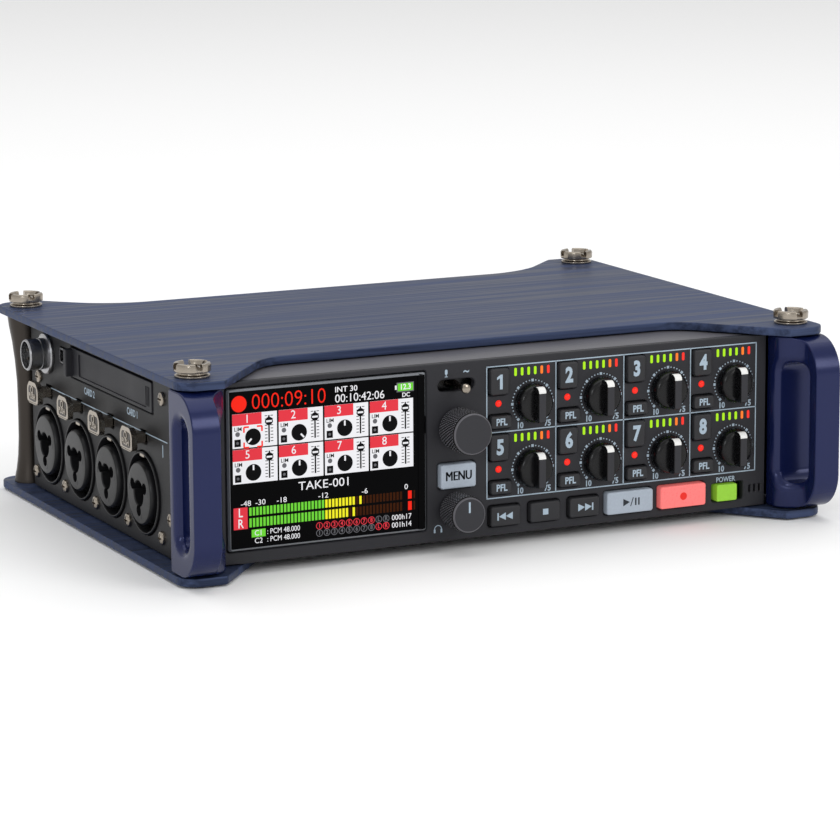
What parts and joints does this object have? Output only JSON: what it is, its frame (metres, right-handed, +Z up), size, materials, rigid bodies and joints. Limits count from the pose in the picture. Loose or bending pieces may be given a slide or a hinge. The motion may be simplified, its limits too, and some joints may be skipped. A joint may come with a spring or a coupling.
{
  "type": "portable field recorder",
  "caption": "Portable audio field recorder: slab case between two plates, guard handles, colour display, channel dials, transport keys and latching combination jacks.",
  "frame": {"origin": "middle of the base plate's underside", "axes": "+X to the right along the width, +Y from the front panel to the back, +Z up from the base plate to the top plate"},
  "size_m": [0.1791, 0.1402, 0.053],
  "materials": {
    "plate_blue": "brushed anodised",
    "handle_blue": "gloss",
    "nickel": "polished nickel",
    "panel_plastic": "fine matt",
    "side_sheet": "fine matt",
    "key_rubber": "matt",
    "knob_black": "satin",
    "clear_key": "milky",
    "red_key": "milky",
    "green_key": "satin",
    "window_glass": "gloss",
    "circuit_board": "solder mask",
    "jack_plastic": "satin",
    "legend_print": "printed",
    "status_light": "clear lens",
    "contact_metal": "plated"
  },
  "bodies": {
    "chassis": {"top_plate": "plate_blue", "bottom_plate": "plate_blue", "handle_left": "handle_blue", "handle_right": "handle_blue", "rear_post_left": "nickel", "rear_post_right": "nickel", "front_panel": "panel_plastic", "left_side_panel": "side_sheet", "right_side_panel": "side_sheet", "rear_panel": "side_sheet", "display_window": "window_glass", "left_input_board": "jack_plastic", "right_input_board": "jack_plastic", "main_board": "circuit_board", "control_board": "circuit_board", "battery_case": "panel_plastic"},
    "encoder_knob": {"encoder_knob": "knob_black"},
    "phones_knob": {"phones_knob": "knob_black"},
    "slate_switch": {"slate_switch": "nickel"},
    "menu_key": {"menu_key": "clear_key"},
    "play_key": {"play_key": "clear_key"},
    "record_key": {"record_key": "red_key"},
    "rewind_key": {"rewind_key": "key_rubber"},
    "stop_key": {"stop_key": "key_rubber"},
    "forward_key": {"forward_key": "key_rubber"},
    "power_switch": {"power_switch": "green_key"},
    "sd_door": {"sd_door": "panel_plastic"},
    "battery_cover": {"battery_cover": "panel_plastic"},
    "track_key_1": {"track_key_1": "key_rubber"},
    "pfl_key_1": {"pfl_key_1": "key_rubber"},
    "gain_knob_1": {"gain_knob_1": "knob_black"},
    "jack_latch_1": {"jack_latch_1": "nickel"},
    "track_key_2": {"track_key_2": "key_rubber"},
    "pfl_key_2": {"pfl_key_2": "key_rubber"},
    "gain_knob_2": {"gain_knob_2": "knob_black"},
    "jack_latch_2": {"jack_latch_2": "nickel"},
    "track_key_3": {"track_key_3": "key_rubber"},
    "pfl_key_3": {"pfl_key_3": "key_rubber"},
    "gain_knob_3": {"gain_knob_3": "knob_black"},
    "jack_latch_3": {"jack_latch_3": "nickel"},
    "track_key_4": {"track_key_4": "key_rubber"},
    "pfl_key_4": {"pfl_key_4": "key_rubber"},
    "gain_knob_4": {"gain_knob_4": "knob_black"},
    "jack_latch_4": {"jack_latch_4": "nickel"},
    "track_key_5": {"track_key_5": "key_rubber"},
    "pfl_key_5": {"pfl_key_5": "key_rubber"},
    "gain_knob_5": {"gain_knob_5": "knob_black"},
    "jack_latch_5": {"jack_latch_5": "nickel"},
    "track_key_6": {"track_key_6": "key_rubber"},
    "pfl_key_6": {"pfl_key_6": "key_rubber"},
    "gain_knob_6": {"gain_knob_6": "knob_black"},
    "jack_latch_6": {"jack_latch_6": "nickel"},
    "track_key_7": {"track_key_7": "key_rubber"},
    "pfl_key_7": {"pfl_key_7": "key_rubber"},
    "gain_knob_7": {"gain_knob_7": "knob_black"},
    "jack_latch_7": {"jack_latch_7": "nickel"},
    "track_key_8": {"track_key_8": "key_rubber"},
    "pfl_key_8": {"pfl_key_8": "key_rubber"},
    "gain_knob_8": {"gain_knob_8": "knob_black"},
    "jack_latch_8": {"jack_latch_8": "nickel"}
  },
  "joints": [
    {"name": "sd_door_hinge", "type": "hinge", "parent": "chassis", "child": "sd_door", "pos_m": [-0.0843, -0.0352, 0.0405], "axis": [0, 0, 1], "range_deg": [0, 100]},
    {"name": "battery_cover_hinge", "type": "hinge", "parent": "chassis", "child": "battery_cover", "pos_m": [0, 0.0538, 0.0046], "axis": [-1, 0, 0], "range_deg": [0, 90]},
    {"name": "encoder_spin", "type": "hinge", "parent": "chassis", "child": "encoder_knob", "pos_m": [-0.0126, -0.058, 0.0306], "axis": [0, -1, 0], "continuous": true},
    {"name": "phones_turn", "type": "hinge", "parent": "chassis", "child": "phones_knob", "pos_m": [-0.0132, -0.058, 0.0102], "axis": [0, -1, 0], "range_deg": [-135, 135]},
    {"name": "slate_tilt", "type": "hinge", "parent": "chassis", "child": "slate_switch", "pos_m": [-0.0128, -0.054, 0.0414], "axis": [0, 0, 1], "range_deg": [-12, 12], "stiffness_Nm_per_rad": 0.01},
    {"name": "power_slide", "type": "slide", "parent": "chassis", "child": "power_switch", "axis": [1, 0, 0], "range_m": [0, 0.002], "stiffness_N_per_m": 300},
    {"name": "menu_press", "type": "slide", "parent": "chassis", "child": "menu_key", "axis": [0, 1, 0], "range_m": [0, 0.0008], "stiffness_N_per_m": 800},
    {"name": "rewind_press", "type": "slide", "parent": "chassis", "child": "rewind_key", "axis": [0, 1, 0], "range_m": [0, 0.0008], "stiffness_N_per_m": 800},
    {"name": "stop_press", "type": "slide", "parent": "chassis", "child": "stop_key", "axis": [0, 1, 0], "range_m": [0, 0.0008], "stiffness_N_per_m": 800},
    {"name": "forward_press", "type": "slide", "parent": "chassis", "child": "forward_key", "axis": [0, 1, 0], "range_m": [0, 0.0008], "stiffness_N_per_m": 800},
    {"name": "play_press", "type": "slide", "parent": "chassis", "child": "play_key", "axis": [0, 1, 0], "range_m": [0, 0.0008], "stiffness_N_per_m": 800},
    {"name": "record_press", "type": "slide", "parent": "chassis", "child": "record_key", "axis": [0, 1, 0], "range_m": [0, 0.0008], "stiffness_N_per_m": 800},
    {"name": "gain_turn_1", "type": "hinge", "parent": "chassis", "child": "gain_knob_1", "pos_m": [0.0083, -0.058, 0.03525], "axis": [0, -1, 0], "range_deg": [-135, 135]},
    {"name": "gain_turn_2", "type": "hinge", "parent": "chassis", "child": "gain_knob_2", "pos_m": [0.0276, -0.058, 0.03525], "axis": [0, -1, 0], "range_deg": [-135, 135]},
    {"name": "gain_turn_3", "type": "hinge", "parent": "chassis", "child": "gain_knob_3", "pos_m": [0.0469, -0.058, 0.03525], "axis": [0, -1, 0], "range_deg": [-135, 135]},
    {"name": "gain_turn_4", "type": "hinge", "parent": "chassis", "child": "gain_knob_4", "pos_m": [0.0662, -0.058, 0.03525], "axis": [0, -1, 0], "range_deg": [-135, 135]},
    {"name": "gain_turn_5", "type": "hinge", "parent": "chassis", "child": "gain_knob_5", "pos_m": [0.0083, -0.058, 0.01862], "axis": [0, -1, 0], "range_deg": [-135, 135]},
    {"name": "gain_turn_6", "type": "hinge", "parent": "chassis", "child": "gain_knob_6", "pos_m": [0.0276, -0.058, 0.01862], "axis": [0, -1, 0], "range_deg": [-135, 135]},
    {"name": "gain_turn_7", "type": "hinge", "parent": "chassis", "child": "gain_knob_7", "pos_m": [0.0469, -0.058, 0.01862], "axis": [0, -1, 0], "range_deg": [-135, 135]},
    {"name": "gain_turn_8", "type": "hinge", "parent": "chassis", "child": "gain_knob_8", "pos_m": [0.0662, -0.058, 0.01862], "axis": [0, -1, 0], "range_deg": [-135, 135]},
    {"name": "track_press_1", "type": "slide", "parent": "chassis", "child": "track_key_1", "axis": [0, 1, 0], "range_m": [0, 0.0008], "stiffness_N_per_m": 800},
    {"name": "track_press_2", "type": "slide", "parent": "chassis", "child": "track_key_2", "axis": [0, 1, 0], "range_m": [0, 0.0008], "stiffness_N_per_m": 800},
    {"name": "track_press_3", "type": "slide", "parent": "chassis", "child": "track_key_3", "axis": [0, 1, 0], "range_m": [0, 0.0008], "stiffness_N_per_m": 800},
    {"name": "track_press_4", "type": "slide", "parent": "chassis", "child": "track_key_4", "axis": [0, 1, 0], "range_m": [0, 0.0008], "stiffness_N_per_m": 800},
    {"name": "track_press_5", "type": "slide", "parent": "chassis", "child": "track_key_5", "axis": [0, 1, 0], "range_m": [0, 0.0008], "stiffness_N_per_m": 800},
    {"name": "track_press_6", "type": "slide", "parent": "chassis", "child": "track_key_6", "axis": [0, 1, 0], "range_m": [0, 0.0008], "stiffness_N_per_m": 800},
    {"name": "track_press_7", "type": "slide", "parent": "chassis", "child": "track_key_7", "axis": [0, 1, 0], "range_m": [0, 0.0008], "stiffness_N_per_m": 800},
    {"name": "track_press_8", "type": "slide", "parent": "chassis", "child": "track_key_8", "axis": [0, 1, 0], "range_m": [0, 0.0008], "stiffness_N_per_m": 800},
    {"name": "pfl_press_1", "type": "slide", "parent": "chassis", "child": "pfl_key_1", "axis": [0, 1, 0], "range_m": [0, 0.0008], "stiffness_N_per_m": 800},
    {"name": "pfl_press_2", "type": "slide", "parent": "chassis", "child": "pfl_key_2", "axis": [0, 1, 0], "range_m": [0, 0.0008], "stiffness_N_per_m": 800},
    {"name": "pfl_press_3", "type": "slide", "parent": "chassis", "child": "pfl_key_3", "axis": [0, 1, 0], "range_m": [0, 0.0008], "stiffness_N_per_m": 800},
    {"name": "pfl_press_4", "type": "slide", "parent": "chassis", "child": "pfl_key_4", "axis": [0, 1, 0], "range_m": [0, 0.0008], "stiffness_N_per_m": 800},
    {"name": "pfl_press_5", "type": "slide", "parent": "chassis", "child": "pfl_key_5", "axis": [0, 1, 0], "range_m": [0, 0.0008], "stiffness_N_per_m": 800},
    {"name": "pfl_press_6", "type": "slide", "parent": "chassis", "child": "pfl_key_6", "axis": [0, 1, 0], "range_m": [0, 0.0008], "stiffness_N_per_m": 800},
    {"name": "pfl_press_7", "type": "slide", "parent": "chassis", "child": "pfl_key_7", "axis": [0, 1, 0], "range_m": [0, 0.0008], "stiffness_N_per_m": 800},
    {"name": "pfl_press_8", "type": "slide", "parent": "chassis", "child": "pfl_key_8", "axis": [0, 1, 0], "range_m": [0, 0.0008], "stiffness_N_per_m": 800},
    {"name": "latch_press_1", "type": "slide", "parent": "chassis", "child": "jack_latch_1", "axis": [1, 0, 0], "range_m": [0, 0.002], "stiffness_N_per_m": 600},
    {"name": "latch_press_2", "type": "slide", "parent": "chassis", "child": "jack_latch_2", "axis": [1, 0, 0], "range_m": [0, 0.002], "stiffness_N_per_m": 600},
    {"name": "latch_press_3", "type": "slide", "parent": "chassis", "child": "jack_latch_3", "axis": [1, 0, 0], "range_m": [0, 0.002], "stiffness_N_per_m": 600},
    {"name": "latch_press_4", "type": "slide", "parent": "chassis", "child": "jack_latch_4", "axis": [1, 0, 0], "range_m": [0, 0.002], "stiffness_N_per_m": 600},
    {"name": "latch_press_5", "type": "slide", "parent": "chassis", "child": "jack_latch_5", "axis": [-1, 0, 0], "range_m": [0, 0.002], "stiffness_N_per_m": 600},
    {"name": "latch_press_6", "type": "slide", "parent": "chassis", "child": "jack_latch_6", "axis": [-1, 0, 0], "range_m": [0, 0.002], "stiffness_N_per_m": 600},
    {"name": "latch_press_7", "type": "slide", "parent": "chassis", "child": "jack_latch_7", "axis": [-1, 0, 0], "range_m": [0, 0.002], "stiffness_N_per_m": 600},
    {"name": "latch_press_8", "type": "slide", "parent": "chassis", "child": "jack_latch_8", "axis": [-1, 0, 0], "range_m": [0, 0.002], "stiffness_N_per_m": 600}
  ]
}
